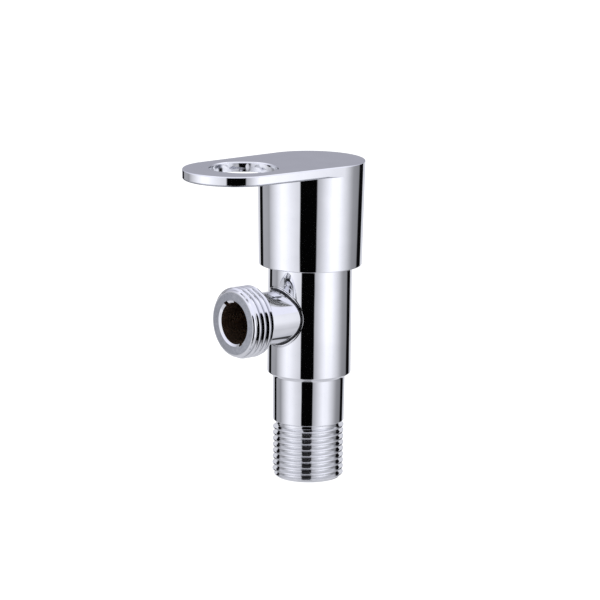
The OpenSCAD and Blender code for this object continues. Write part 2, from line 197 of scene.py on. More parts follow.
# Camera: the photograph's viewing angle
CAMERA_AZIMUTH = math.radians(50.5)
CAMERA_ELEVATION = math.radians(11.664)
CAMERA_ROLL = math.radians(0.7)
CAMERA_DISTANCE = 1.0
CAMERA_ASIDE = -0.002878
CAMERA_AIM_Z = 0.052964
CAMERA_LENS_MM = 203.84
CAMERA_SENSOR_MM = 36

# Studio: walls of soft boxes close round the valve
WALL_R = 0.115
WALL_Z = (-0.30, 0.35)
STUDIO_GAIN = 1.12
SWEEP_R = 2.3
SWEEP_TOP_Z = 2.4
SWEEP_ROUND = 0.6


# ---- Mesh tools


class Shell:
    """Patches of quads with exact normals, welded into one mesh."""

    def __init__(self):
        self.points, self.normals, self.faces, self.slots = [], [], [], []
        self.count = 0

    def sheet(self, points, normals, slot=0):
        """Adds a grid: points and normals have the shape (rows, columns, 3)."""
        rows, cols = points.shape[:2]
        at = self.count + np.arange(rows * cols).reshape(rows, cols)
        quads = np.stack([at[:-1, :-1], at[1:, :-1], at[1:, 1:], at[:-1, 1:]], -1).reshape(-1, 4)
        self._add(points, np.broadcast_to(normals, points.shape), quads, slot)

    def flat(self, loops, normal, slot=0):
        """Adds a plane face bounded by loops: the outer one first, then its holes."""
        tris = tessellate_polygon([[Vector(p) for p in loop] for loop in loops])
        points = np.concatenate(loops)
        quads = self.count + np.array([(a, b, c, c) for a, b, c in tris])
        self._add(points, np.broadcast_to(normal, points.shape), quads, slot)

    def _add(self, points, normals, quads, slot):
        self.points.append(points.reshape(-1, 3))
        self.normals.append(np.asarray(normals, float).reshape(-1, 3))
        self.faces.append(quads)
        self.slots.append(np.full(len(quads), slot))
        self.count += len(self.points[-1])

    def build(self, name, materials):
        points, normals = np.concatenate(self.points), np.concatenate(self.normals)
        normals = normals / np.linalg.norm(normals, axis=1, keepdims=True)
        quads, slots = np.concatenate(self.faces), np.concatenate(self.slots)
        key = np.round(points / WELD + WELD_SHIFT).astype(np.int64)
        _, first, weld = np.unique(key, axis=0, return_index=True, return_inverse=True)
        weld = weld.ravel()
        corner = points[quads]
        facing = np.cross(corner[:, 2] - corner[:, 0], corner[:, 3] - corner[:, 1])
        away = np.einsum("ij,ij->i", facing, normals[quads].sum(1)) < 0
        quads[away] = quads[away][:, ::-1]
        faces, loops, kept = [], [], []
        for quad, ids, slot in zip(quads.tolist(), weld[quads].tolist(), slots.tolist()):
            seen = dict(zip(ids, quad)) if len(set(ids)) < 4 else None
            if seen is not None and len(seen) < 3:
                continue
            faces.append(ids if seen is None else list(seen))
            loops.extend(quad if seen is None else seen.values())
            kept.append(slot)
        mesh = bpy.data.meshes.new(name)
        mesh.from_pydata(points[first].tolist(), [], faces)
        mesh.polygons.foreach_set("use_smooth", [True] * len(faces))
        mesh.polygons.foreach_set("material_index", kept)
        for material in materials:
            mesh.materials.append(material)
        mesh.normals_split_custom_set(normals[loops].tolist())
        mesh.update()
        piece = bpy.data.objects.new(name, mesh)
        bpy.context.scene.collection.objects.link(piece)
        return piece


def rounded(corners, arc_steps=8):
    """Sections along a path of (r, z, rounding) corners, each as points and normals.

    The solid lies on the left of the path, so a normal points to its right."""
    nodes = [np.array(c[:2], float) for c in corners]
    cuts = [(node, node, None) for node in nodes]
    for i in range(1, len(nodes) - 1):
        radius = corners[i][2] if len(corners[i]) > 2 else 0
        before, after = nodes[i] - nodes[i - 1], nodes[i + 1] - nodes[i]
        before, after = before / np.linalg.norm(before), after / np.linalg.norm(after)
        turn = math.atan2(before[0] * after[1] - before[1] * after[0], before @ after)
        if radius == 0 or abs(turn) < TINY_TURN:
            continue
        cut = radius * math.tan(abs(turn) / 2)
        start, end = nodes[i] - cut * before, nodes[i] + cut * after
        side = math.copysign(1, turn)
        centre = start + side * radius * np.array([-before[1], before[0]])
        angle = math.atan2(*(start - centre)[::-1]) + np.linspace(0, turn, arc_steps + 1)
        ray = np.stack([np.cos(angle), np.sin(angle)], 1)
        cuts[i] = (start, end, (centre + radius * ray, side * ray))
    sections = []
    for (_, start, arc), (end, _, _) in zip(cuts[:-1], cuts[1:]):
        if arc is not None:
            sections.append(arc)
        run = end - start
        length = np.linalg.norm(run)
        if length > WELD:
            normal = np.array([run[1], -run[0]]) / length
            sections.append((np.stack([start, end]), np.stack([normal, normal])))
    return sections


def shares(steps):
    return np.linspace(0, 1, steps + 1)


def full_turn(steps):
    return np.linspace(0, 2 * math.pi, steps + 1)


def on_stem(r, azimuth, z):
    """Points round the stem axis."""
    r, azimuth, z = np.broadcast_arrays(r, azimuth, z)
    return np.stack([r * np.sin(azimuth), -r * np.cos(azimuth), z], -1)


def on_outlet(r, turn, w):
    """Points round the outlet axis: turn 0 is +X and a quarter turn is +Z."""
    r, turn, w = np.broadcast_arrays(r, turn, w)
    return np.stack([r * np.cos(turn), -w, OUTLET_Z + r * np.sin(turn)], -1)


def on_plug(r, turn, y):
    """Points round the plug's axis, which points to +Y."""
    r, turn, y = np.broadcast_arrays(r, turn, y)
    return np.stack([r * np.cos(turn), y, PLUG_Z + r * np.sin(turn)], -1)


def ray_across_y(turn):
    """Unit vectors away from an axis along Y."""
    return np.stack([np.cos(turn), 0 * turn, np.sin(turn)], -1)


def lathe(shell, corners, place, angles, slot=0, arc_steps=8):
    """Turns a path of (r, z, rounding) corners round the axis that place works on."""
    for points, normals in rounded(corners, arc_steps):
        at = place(points[None, :, 0], angles[:, None], points[None, :, 1])
        tip = place(points[None, :, 0] + normals[None, :, 0], angles[:, None],
                    points[None, :, 1] + normals[None, :, 1])
        shell.sheet(at, tip - at, slot)


def surface(shell, form, us, vs):
    """Adds form(u, v), with u an angle, and normals found by central differences."""
    us, vs = np.broadcast_arrays(us, vs)
    du = form(us + TURN_STEP, vs) - form(us - TURN_STEP, vs)
    dv = form(us, vs + LENGTH_STEP) - form(us, vs - LENGTH_STEP)
    shell.sheet(form(us, vs), np.cross(du, dv))


def window(half_width, low, high, side_steps, edge_steps):
    """Corners of a rectangle's outline as (across, z), from its lower right corner, upwards."""
    up, across = np.linspace(low, high, side_steps + 1), np.linspace(1, -1, edge_steps + 1)
    right = np.stack([np.full(side_steps, half_width), up[:-1]], 1)
    top = np.stack([half_width * across[:-1], np.full(edge_steps, high)], 1)
    left = np.stack([np.full(side_steps, -half_width), up[:0:-1]], 1)
    bottom = np.stack([-half_width * across, np.full(edge_steps + 1, low)], 1)
    return np.concatenate([right, top, left, bottom])


def port(shell, place, normal, rim, frame_line, slot=0, rings=12):
    """Fills between a hole's rim and the window round it, both given as (across, z).

    The rings crowd towards the rim."""
    share = shares(rings)[None, :, None] ** 1.3
    across_z = rim[:, None] + (frame_line - rim)[:, None] * share
    across, z = across_z[..., 0], across_z[..., 1]
    shell.sheet(place(across, z), normal(across, z), slot)


def smooth_step(low, high, value):
    share = np.clip((value - low) / (high - low), 0, 1)
    return share * share * (3 - 2 * share)


def soft_min(a, b, width):
    return np.minimum(a, b) - np.maximum(width - np.abs(a - b), 0) ** 2 / (4 * width)


def soft_max(a, b, width):
    return -soft_min(-a, -b, width)


def whitworth(offset):
    """Depth under the crest at an axial distance from one of the crests."""
    away = np.abs((offset / PITCH + 0.5) % 1 - 0.5) * PITCH
    reach, drop = THREAD_ROUND * math.sin(FLANK), THREAD_ROUND * (1 - math.cos(FLANK))
    crest = THREAD_ROUND - np.sqrt(np.maximum(THREAD_ROUND**2 - away**2, 0))
    flank = drop + (away - reach) * math.tan(FLANK)
    low = PITCH / 2 - away
    root = THREAD_DEPTH - THREAD_ROUND + np.sqrt(np.maximum(THREAD_ROUND**2 - low**2, 0))
    return np.where(away < reach, crest, np.where(low < reach, root, flank))


def thread_sheet(shell, place, radius, start, end, angles):
    """Adds a threaded length whose mesh lines follow the helix."""
    rows = math.ceil((end - start) / PITCH * ROWS_PER_PITCH)
    line = start + (np.arange(rows + ROWS_PER_PITCH + 1) - ROWS_PER_PITCH) * PITCH / ROWS_PER_PITCH
    rise = RISE_PER_RADIAN * (angles - angles[0])[:, None]
    along = np.clip(line[None, :] + rise, start, end)
    surface(shell, lambda a, w: place(radius(a, w), a, w), angles[:, None], along)


# ---- Valve body


def inlet_radius(azimuth, z):
    rise = INLET_CREST_Z + RISE_PER_RADIAN * (azimuth - INLET_CREST_AZIMUTH)
    fade = smooth_step(*INLET_FADE, z)
    thread = THREAD_ROOT_R + (THREAD_DEPTH - whitworth(z - rise)) * fade
    cone = INLET_CHAMFER_R + z
    start = INLET_THREAD[0]
    cut = soft_min(thread, cone, CHAMFER_BLEND)
    return cone - (cone - cut) * smooth_step(start, start + THREAD_RUN_IN, z)


def outlet_radius(turn, w):
    rise = OUTLET_CREST_W + RISE_PER_RADIAN * turn
    away = np.abs(((w - rise) / PITCH + 0.5) % 1 - 0.5) * PITCH
    flank = THREAD_R + OUTLET_CREST_HALF - away
    cut = soft_min(flank, THREAD_R, OUTLET_CREST_BLEND)
    root = THREAD_R - OUTLET_DEPTH
    thread = root + soft_max(cut - root, 0, OUTLET_ROOT_BLEND)
    thread = OUTLET_PILOT_R + (thread - OUTLET_PILOT_R) * smooth_step(*OUTLET_FADE, w)
    start, end = OUTLET_SHOULDER_W, OUTLET_FACE_W - FACE_CUT
    inner = OUTLET_SHOULDER_R + w - start
    outer = OUTLET_FACE_R + OUTLET_FACE_W - w
    run_in = smooth_step(start, start + THREAD_RUN_IN, w)
    near = inner - (inner - soft_min(thread, inner, CHAMFER_BLEND)) * run_in
    run_out = smooth_step(end, end - THREAD_RUN_IN, w)
    return outer - (outer - soft_min(near, outer, OUTLET_ROOT_BLEND)) * run_out


def bonnet_grooves():
    """The female thread's corners, from the rim downwards."""
    corners = []
    for i in range(BONNET_TURNS, -1, -1):
        base = BONNET_Z + i * BONNET_PITCH
        corners += [(BONNET_GROOVE_R, base + BONNET_PITCH / 6), (BONNET_GROOVE_R, base)]
        if i:
            corners += [(BONNET_RIDGE_R, base - BONNET_PITCH / 3),
                        (BONNET_RIDGE_R, base - BONNET_PITCH / 2)]
    return corners


def body_stem(shell, azimuths):
    """Inlet end, thread, neck and the plain rings of the barrel and the waterway."""
    start, end = INLET_THREAD
    lathe(shell, [(THROAT_R, THROAT_Z), (INLET_BORE_R, INLET_BORE_TOP_Z),
                  (INLET_BORE_R, INLET_LIP_Z)], on_stem, azimuths, slot=WATERWAY)
    lathe(shell, [(INLET_BORE_R, INLET_LIP_Z), (INLET_BORE_R, 0, 0.0002),
                  (INLET_CHAMFER_R, 0, 0.00025), (INLET_CHAMFER_R + start, start)],
          on_stem, azimuths)
    thread_sheet(shell, on_stem, inlet_radius, start, end, azimuths)
    lathe(shell, [(THREAD_ROOT_R, end), (THREAD_ROOT_R, RELIEF_TOP_Z, 0.0001),
                  (NECK_BASE_R, NECK_BASE_Z, 0.00025), (NECK_R, BARREL_BASE_Z, 0.0012),
                  (BARREL_R, BARREL_BASE_Z, 0.00045), (BARREL_R, BODY_WINDOW[1])],
          on_stem, azimuths, arc_steps=12)
    lathe(shell, [(BARREL_R, BODY_WINDOW[2]), (BARREL_R, RIM_Z, 0.0004),
                  (BONNET_GROOVE_R, RIM_Z)], on_stem, azimuths)
    lathe(shell, [(BONNET_GROOVE_R, RIM_Z), *bonnet_grooves(),
                  (CHAMBER_R, BONNET_Z - BONNET_PITCH / 3), (CHAMBER_R, CHAMBER_WINDOW[2])],
          on_stem, azimuths, slot=WATERWAY)
    lathe(shell, [(CHAMBER_R, CHAMBER_WINDOW[1]), (CHAMBER_R, SEAT_Z, 0.0001),
                  (THROAT_R, SEAT_Z, 0.0002), (THROAT_R, THROAT_Z)],
          on_stem, azimuths, slot=WATERWAY)


def wall_with_port(shell, r, box, rim, azimuths, slot, outward):
    """Ring of cylinder wall with the outlet's hole in it."""
    half, low, high = box

    def place(across, z):
        return on_stem(r, across, z)

    def normal(across, z):
        return on_stem(outward, across, 0 * z)

    port(shell, place, normal, rim, window(half, low, high, SIDE_STEPS, EDGE_STEPS), slot)
    half -= TINY_TURN
    rest = azimuths[(azimuths > half) & (azimuths < 2 * math.pi - half)][:, None]
    z = np.linspace(low, high, SIDE_STEPS + 1)[None, :]
    shell.sheet(place(rest, z), normal(rest, z), slot)


def ball_centre(turns):
    """Centres of a ball that rolls round the branch's root and forms its fillet."""
    x = BALL_R * np.cos(turns)
    return np.stack([x, -np.sqrt(BALL_REACH**2 - x**2), OUTLET_Z + BALL_R * np.sin(turns)], -1)


def pad_place(turns, share):
    """Radius, azimuth and height across the pad's edge, from share 0, inside, to 1."""
    azimuth, up = np.arcsin(BALL_R * np.cos(turns) / BALL_REACH), BALL_R * np.sin(turns)
    out = 1 + PAD_EDGE * share / np.hypot(PAD_R * azimuth, up)
    r = BARREL_R + (PAD_R - BARREL_R) * (1 + np.cos(math.pi * share)) / 2
    return r, azimuth * out, OUTLET_Z + up * out


def pad_edge(turns, share):
    return on_stem(*pad_place(turns, share))


def body_branch(shell, azimuths, turns):
    """Fillet, outlet neck, thread, face and bore, and the walls that they pierce."""
    centre = ball_centre(turns)
    on_branch = on_outlet(OUTLET_NECK_R, turns, -centre[:, 1])
    on_pad = centre * [PAD_R / BALL_REACH, PAD_R / BALL_REACH, 1]
    first, last = (on_branch - centre) / OUTLET_FILLET, (on_pad - centre) / OUTLET_FILLET
    sweep = np.arccos(np.einsum("ij,ij->i", first, last))[:, None, None]
    share = shares(FILLET_STEPS)[None, :, None]
    ray = (np.sin((1 - share) * sweep) * first[:, None] + np.sin(share * sweep) * last[:, None])
    ray = ray / np.sin(sweep)
    steps = (0, *CORNER_STEPS, FILLET_STEPS)
    # The fillet's middle band gets the corner's painted shade
    for low, high, slot in zip(steps[:-1], steps[1:], (0, CORNER_SHADE, 0)):
        part = ray[:, low : high + 1]
        shell.sheet(centre[:, None] + OUTLET_FILLET * part, -part, slot)
    surface(shell, pad_edge, turns[:, None], shares(PAD_STEPS)[None, :])
    _, azimuth, z = pad_place(turns, 1.0)
    wall_with_port(shell, BARREL_R, BODY_WINDOW, np.stack([azimuth, z], 1), azimuths, 0, 1.0)

    share = shares(SADDLE_STEPS)
    out = ray_across_y(turns)[:, None]
    w = -on_branch[:, 1, None] * (1 - share) + BRANCH_START_W * share
    shell.sheet(on_outlet(OUTLET_NECK_R, turns[:, None], w), out)
    lathe(shell, [(OUTLET_NECK_R, BRANCH_START_W), (OUTLET_NECK_R, OUTLET_SHOULDER_W, 0.0002),
                  (OUTLET_SHOULDER_R, OUTLET_SHOULDER_W)], on_outlet, turns)
    end = OUTLET_FACE_W - FACE_CUT
    thread_sheet(shell, on_outlet, outlet_radius, OUTLET_SHOULDER_W, end, turns)
    lathe(shell, [(OUTLET_FACE_R + FACE_CUT, end), (OUTLET_FACE_R, OUTLET_FACE_W, FACE_EDGE),
                  (OUTLET_FACE_R - FACE_TRIM, OUTLET_FACE_W)], on_outlet, turns)
    outlet_mouth(shell, turns)
    lathe(shell, [(OUTLET_BORE_R, SLOT_W - JOIN_W), (OUTLET_BORE_R, BORE_START_W)],
          on_outlet, turns, slot=WATERWAY)
    bore_x, bore_up = OUTLET_BORE_R * np.cos(turns), OUTLET_BORE_R * np.sin(turns)
    reach = np.sqrt(CHAMBER_R**2 - bore_x**2)
    w = BORE_START_W * (1 - share) + reach[:, None] * share
    shell.sheet(on_outlet(OUTLET_BORE_R, turns[:, None], w), -out, slot=WATERWAY)
    rim = np.stack([np.arctan2(bore_x, reach), OUTLET_Z + bore_up], 1)
    wall_with_port(shell, CHAMBER_R, CHAMBER_WINDOW, rim, azimuths, WATERWAY, -1.0)


def land(slot_turn, half):
    """Turns from the side of one slot to the side of the next; half is a slot's half width."""
    return slot_turn + half + np.multiply.outer(shares(LAND_STEPS), math.pi - 2 * half)


def outlet_mouth(shell, turns):
    """Machined face and countersink with its two slots."""
    _, lip, cone, bore = rounded([
        (MOUTH_R + FACE_TRIM, OUTLET_FACE_W), (MOUTH_R, OUTLET_FACE_W, FACE_EDGE),
        (OUTLET_BORE_R, MOUTH_W), (OUTLET_BORE_R, SLOT_W)])
    r, w = np.concatenate([lip[0], cone[0][1:], bore[0][1:]]).T
    inner_loop, ring = [], []
    for slot_turn in (SLOT_TURN, SLOT_TURN + math.pi):
        radial, across = ray_across_y(slot_turn), ray_across_y(slot_turn + math.pi / 2)

        def slot_end(side, depth):
            corner = SLOT_REACH * radial + side * SLOT_HALF * across + [0, 0, OUTLET_Z]
            return corner - np.multiply.outer(depth, [0, 1, 0])

        for (points, normals), slot in ((lip, 0), (cone, 0), (bore, WATERWAY)):
            turn = land(slot_turn, np.arcsin(SLOT_HALF / points[:, 0]))
            shell.sheet(on_outlet(points[:, 0], turn, points[:, 1]),
                        on_outlet(normals[:, 0], turn, normals[:, 1]) - [0, 0, OUTLET_Z], slot)
        for side in (-1, 1):
            edge = on_outlet(r, slot_turn + side * np.arcsin(SLOT_HALF / r), w)
            shell.sheet(np.stack([edge, slot_end(side, w)], 1), -side * across, slot=WATERWAY)
        depths = np.array([SLOT_W, OUTLET_FACE_W])
        shell.sheet(np.stack([slot_end(-1, depths), slot_end(1, depths)]), -radial, slot=WATERWAY)
        half = math.asin(SLOT_HALF / OUTLET_BORE_R)
        floor = slot_turn + np.linspace(-half, half, SLOT_STEPS + 1)
        ring += [floor[:-1], land(slot_turn, half)[:-1]]
        ends = np.stack([slot_end(1, SLOT_W), slot_end(-1, SLOT_W)])
        arc = on_outlet(OUTLET_BORE_R, floor, SLOT_W)
        shell.flat([np.concatenate([arc, ends])], (0, -1, 0), slot=WATERWAY)
        arc = on_outlet(r[0], land(slot_turn, math.asin(SLOT_HALF / r[0])), w[0])
        inner_loop += [slot_end(-1, w[0])[None], slot_end(1, w[0])[None], arc]
    rim = on_outlet(OUTLET_FACE_R - FACE_TRIM, turns[:-1], OUTLET_FACE_W)
    shell.flat([rim, np.concatenate(inner_loop)], (0, -1, 0), slot=FACE)
    bore_join(shell, np.concatenate(ring), turns)


def bore_join(shell, ring, turns):
    """Narrow band of the bore from the mouth's uneven steps to even ones."""
    first = np.argmin(np.abs((ring - turns[0] + math.pi) % (2 * math.pi) - math.pi))
    ring = np.append(np.roll(ring, -first), ring[first])
    turn = np.stack([ring, turns], 1)
    w = np.array([SLOT_W, SLOT_W - JOIN_W])
    shell.sheet(on_outlet(OUTLET_BORE_R, turn, w), -ray_across_y(turn), slot=WATERWAY)


def valve_body(materials):
    shell = Shell()
    azimuths = full_turn(AROUND)
    window_corner = math.pi * SIDE_STEPS / AROUND
    body_stem(shell, azimuths)
    body_branch(shell, azimuths, azimuths - window_corner)
    return shell.build("body_chrome", materials)


# ---- Handle


def skirt_r(z):
    return HANDLE_R - DRAFT * (HANDLE_TOP_Z - z)


def outline():
    """Lever outline from the right tangent point round the far end, as points and azimuths."""
    side, end = SIDE_AZIMUTH, np.array([0, -LEVER_REACH])

    def ray(azimuth):
        return np.stack([np.sin(azimuth), -np.cos(azimuth)], -1)

    share = shares(EDGE_RUN)[:, None]
    right = HANDLE_R * ray(side) * (1 - share) + (end + LEVER_R * ray(side)) * share
    left = (end + LEVER_R * ray(-side)) * (1 - share) + HANDLE_R * ray(-side) * share
    round_end = np.linspace(side, -side, END_STEPS + 1)
    points = np.concatenate([right[:-1], end + LEVER_R * ray(round_end), left[1:]])
    azimuth = np.concatenate([np.full(EDGE_RUN, side), round_end, np.full(EDGE_RUN, -side)])
    back = np.linspace(-side, side - 2 * math.pi, BACK_STEPS + 1)
    return (points, ray(azimuth)), (HANDLE_R * ray(back), ray(back))


def swept(shell, line, inset, z, side, up, slot=0):
    """Sweeps a section along an outline: inset and z place it, side and up are its normal."""
    points, rays = line
    inset, z, side, up = (np.atleast_2d(v) for v in np.broadcast_arrays(inset, z, side, up))
    flat = points[:, None] - inset[..., None] * rays[:, None]
    z = np.broadcast_to(z, flat.shape[:2])
    flat_n = side[..., None] * rays[:, None]
    up = np.broadcast_to(up, flat_n.shape[:2])
    shell.sheet(np.dstack([flat, z]), np.dstack([flat_n, up]), slot)


def lower_rounding(points):
    """Rounding of the plate's lower edge, which fades out where the plate meets the skirt."""
    beyond = np.linalg.norm(points, axis=1) - skirt_r(PLATE_Z)
    return np.clip(0.5 * beyond, 0, LOWER_EDGE)[:, None]


def plate_edge(shell, front, back):
    """Side of the lever plate, with its rounded upper and lower edges."""
    top_turn = np.linspace(-SKIRT_TILT, math.pi / 2, ROUND_STEPS + 3)[None, :]
    at_turn = np.maximum(top_turn, 0)
    rise = HANDLE_TOP_Z - TOP_EDGE
    start = DRAFT * TOP_EDGE
    for line in (front, back):
        swept(shell, line, start + TOP_EDGE * (1 - np.cos(at_turn)),
              rise + TOP_EDGE * np.sin(at_turn), np.cos(top_turn), np.sin(top_turn))
    points, rays = front
    inset = DRAFT * (HANDLE_TOP_Z - PLATE_Z)
    edge = lower_rounding(points - inset * rays)
    share = shares(SIDE_ROWS)[None, :]
    z = PLATE_Z + edge + (rise - PLATE_Z - edge) * share
    swept(shell, front, DRAFT * (HANDLE_TOP_Z - z), z, math.cos(SKIRT_TILT), -math.sin(SKIRT_TILT))
    turn = np.linspace(0, math.pi / 2, ROUND_STEPS + 1)[None, :]
    inset = inset - DRAFT * edge
    # The lower edge's rounding gets a darker colour: painted shade
    swept(shell, front, inset + edge * (1 - np.cos(turn)), PLATE_Z + edge * (1 - np.sin(turn)),
          np.cos(turn), -np.sin(turn), slot=SATIN_SHADE)
    return points - (inset + edge) * rays


def notch():
    """Half widths of the finger hole's cut into the skirt, as azimuths at both centres."""
    r = skirt_r(PLATE_Z)
    y = (HOLE_R**2 - r**2 - HOLE_REACH**2) / (2 * HOLE_REACH)
    x = math.sqrt(r**2 - y**2)
    return math.atan2(x, -y), math.atan2(x, -(y + HOLE_REACH))


def hole_place(r, azimuth, z):
    return on_stem(r, azimuth, z) - [0, HOLE_REACH, 0]


def finger_hole(shell):
    """Wall of the finger hole, its rim and its lower edge.

    Returns its loops in the top face, the underside and the ledge."""
    _, across = notch()
    long_way = np.linspace(-across, across, HOLE_STEPS + 1)
    short_way = np.linspace(across, 2 * math.pi - across, HOLE_NOTCH_STEPS + 1)
    edge = lower_rounding(hole_place(HOLE_R, long_way, PLATE_Z)[:, :2])
    edge = np.minimum(edge, HOLE_LOWER_EDGE)
    turn = np.linspace(0, math.pi / 2, ROUND_STEPS + 1)[None, :]
    azimuth = long_way[:, None]
    at = hole_place(HOLE_R + edge * (1 - np.cos(turn)), azimuth,
                    PLATE_Z + edge * (1 - np.sin(turn)))
    shell.sheet(at, on_stem(-np.cos(turn), azimuth, -np.sin(turn)), slot=HOLE_WALL)
    top = HANDLE_TOP_Z - HOLE_RIM
    ledge = np.full((HOLE_NOTCH_STEPS + 1, 1), NOTCH_Z)
    for path, low in ((long_way, PLATE_Z + edge), (short_way, ledge)):
        path = path[:, None]
        shell.sheet(hole_place(HOLE_R, path, low + (top - low) * shares(SIDE_ROWS)[None, :]),
                    on_stem(-1.0, path, np.zeros((1, SIDE_ROWS + 1))), slot=HOLE_WALL)
        at = hole_place(HOLE_R + HOLE_RIM * (1 - np.cos(turn)), path, top + HOLE_RIM * np.sin(turn))
        shell.sheet(at, on_stem(-np.cos(turn), path, np.sin(turn)))
    rim = np.concatenate([long_way, short_way[1:-1]])
    return (hole_place(HOLE_R + HOLE_RIM, rim, HANDLE_TOP_Z),
            hole_place(HOLE_R + edge[:, 0], long_way, PLATE_Z),
            hole_place(HOLE_R, short_way, NOTCH_Z))


def with_z(points, z):
    return np.column_stack([points, np.full(len(points), z)])


def plate_faces(shell, front, back, underside):
    """Top face, underside and the small ledge where the hole cuts the skirt."""
    rim, lower, ledge = finger_hole(shell)
    inset = DRAFT * TOP_EDGE + TOP_EDGE
    around = [points - inset * rays for points, rays in (front, back)]
    top = np.concatenate([around[0], around[1][1:-1]])
    shell.flat([with_z(top, HANDLE_TOP_Z), rim], (0, 0, 1))
    cut, _ = notch()
    azimuth = np.linspace(cut, SIDE_AZIMUTH, FRONT_STEPS + 1)
    arc = on_stem(skirt_r(PLATE_Z), azimuth, PLATE_Z)
    mirrored = arc[::-1] * [-1, 1, 1]
    # The underside gets a darker colour: painted shade
    shell.flat([np.concatenate([with_z(underside, PLATE_Z), mirrored[1:-1], lower, arc[1:-1]])],
               (0, 0, -1), slot=UNDERSIDE_SHADE)
    across = np.linspace(-cut, cut, NOTCH_STEPS + 1)
    shell.flat([np.concatenate([on_stem(skirt_r(NOTCH_Z), across, NOTCH_Z), ledge])], (0, 0, 1))


def skirt_place(azimuth, z):
    return on_stem(skirt_r(z), azimuth, z)


def skirt_normal(azimuth, z):
    return on_stem(math.cos(SKIRT_TILT), azimuth, -math.sin(SKIRT_TILT) + 0 * z)


def skirt(shell):
    """Outside of the skirt with its plug hole, and its mouth; returns its azimuths."""
    cut, _ = notch()
    right = np.linspace(cut, SIDE_AZIMUTH, FRONT_STEPS + 1)
    middle = np.linspace(-cut, cut, NOTCH_STEPS + 1)
    back = np.linspace(SIDE_AZIMUTH, 2 * math.pi - SIDE_AZIMUTH, BACK_STEPS + 1)
    steps, port_low, port_high = PLUG_WINDOW
    first = (BACK_STEPS - steps) // 2

    def wall(azimuths, low, high, rows):
        azimuths, z = azimuths[:, None], np.linspace(low, high, rows + 1)[None, :]
        shell.sheet(skirt_place(azimuths, z), skirt_normal(azimuths, z))

    for azimuths, high in ((-right, PLATE_Z), (middle, NOTCH_Z), (right, PLATE_Z)):
        wall(azimuths, SKIRT_EDGE_Z, high, 14)
    wall(back, SKIRT_EDGE_Z, port_low, 8)
    wall(back, port_high, HANDLE_TOP_Z - TOP_EDGE, 2)
    for azimuths in (back[: first + 1], back[-first - 1 :]):
        wall(azimuths, port_low, port_high, steps // 2)
    plug_hole(shell, (back[1] - back[0]) * steps / 2)

    around = np.concatenate([middle, right[1:], back[1:], 2 * math.pi - right[::-1][1:]])
    lathe(shell, [(SKIRT_BORE_R, GUIDE_BASE_Z), (SKIRT_BORE_R, SKIRT_BASE_Z, 0.00025),
                  (skirt_r(SKIRT_BASE_Z), SKIRT_BASE_Z, 0.0003),
                  (skirt_r(SKIRT_EDGE_Z), SKIRT_EDGE_Z)], on_stem, around)
    return around


def plug_hole(shell, half):
    """Window in the back of the skirt, half its width as an azimuth, with the plug's hole."""

    def place(across, z):
        return skirt_place(math.pi - across, z)

    def normal(across, z):
        return skirt_normal(math.pi - across, z)

    steps, low, high = PLUG_WINDOW
    turns = full_turn(3 * steps) - math.pi / 6
    x, z = PLUG_HOLE_R * np.cos(turns), PLUG_Z + PLUG_HOLE_R * np.sin(turns)
    rim = np.stack([np.arcsin(x / skirt_r(z)), z], 1)
    port(shell, place, normal, rim, window(half, low, high, steps // 2, steps), rings=8)
    share = shares(2)
    y = np.sqrt(skirt_r(z) ** 2 - x**2)[:, None] * (1 - share) + PLUG_SEAT_Y * share
    shell.sheet(on_plug(PLUG_HOLE_R, turns[:, None], y), -ray_across_y(turns)[:, None])
    lathe(shell, [(SCREW_HOLE_R, SCREW_HOLE_Y), (SCREW_HOLE_R, PLUG_SEAT_Y),
                  (PLUG_HOLE_R, PLUG_SEAT_Y)], on_plug, turns)


def handle_inside(shell, azimuths):
    """Bore, ceiling, boss with the adapter's socket, webs and screw boss."""
    # The inside gets the underside's darker colour: painted shade
    lathe(shell, [(0.0, SOCKET_TOP_Z), (SOCKET_R, SOCKET_TOP_Z), (SOCKET_R, BOSS_Z),
                  (BOSS_R, BOSS_Z, 0.0004), (BOSS_R, PLATE_Z, 0.0005),
                  (SKIRT_BORE_TOP_R, PLATE_Z, 0.0005), (SKIRT_BORE_R, GUIDE_TOP_Z),
                  (SKIRT_BORE_R, GUIDE_BASE_Z)], on_stem, azimuths, slot=UNDERSIDE_SHADE)
    for side in (-1, 1):
        ends = side * (BOSS_R - OVERLAP), side * (SKIRT_BORE_TOP_R + OVERLAP)
        web(shell, ends, (-WEB_HALF, WEB_HALF), PLATE_Z + OVERLAP)
    lathe(shell, [(SCREW_BOSS_R, SCREW_BOSS_Y), (SCREW_BOSS_R, SKIRT_BORE_TOP_R + OVERLAP)],
          on_plug, full_turn(48), slot=UNDERSIDE_SHADE)


def web(shell, xs, ys, top):
    """Four sides and the underside of a web."""
    corners = np.array([(xs[i], ys[j]) for i, j in ((0, 0), (1, 0), (1, 1), (0, 1), (0, 0))])
    middle = np.array([sum(xs) / 2, sum(ys) / 2])
    for a, b in zip(corners[:-1], corners[1:]):
        out = (a + b) / 2 - middle
        at = np.array([[[*a, WEB_Z], [*a, top]], [[*b, WEB_Z], [*b, top]]])
        shell.sheet(at, np.array([*out, 0.0]), slot=UNDERSIDE_SHADE)
    shell.flat([with_z(corners[:-1], WEB_Z)], (0, 0, -1), slot=UNDERSIDE_SHADE)


def handle_piece(materials):
    shell = Shell()
    front, back = outline()
    underside = plate_edge(shell, front, back)
    plate_faces(shell, front, back, underside)
    handle_inside(shell, skirt(shell))
    return shell.build("handle_chrome", materials)


# ---- Materials


# Painted shade: the darker grey that the outlet thread's roots get in place of the chrome's tint
ROOT_SHADE_GREY = (0.36, 0.37, 0.40, 1)


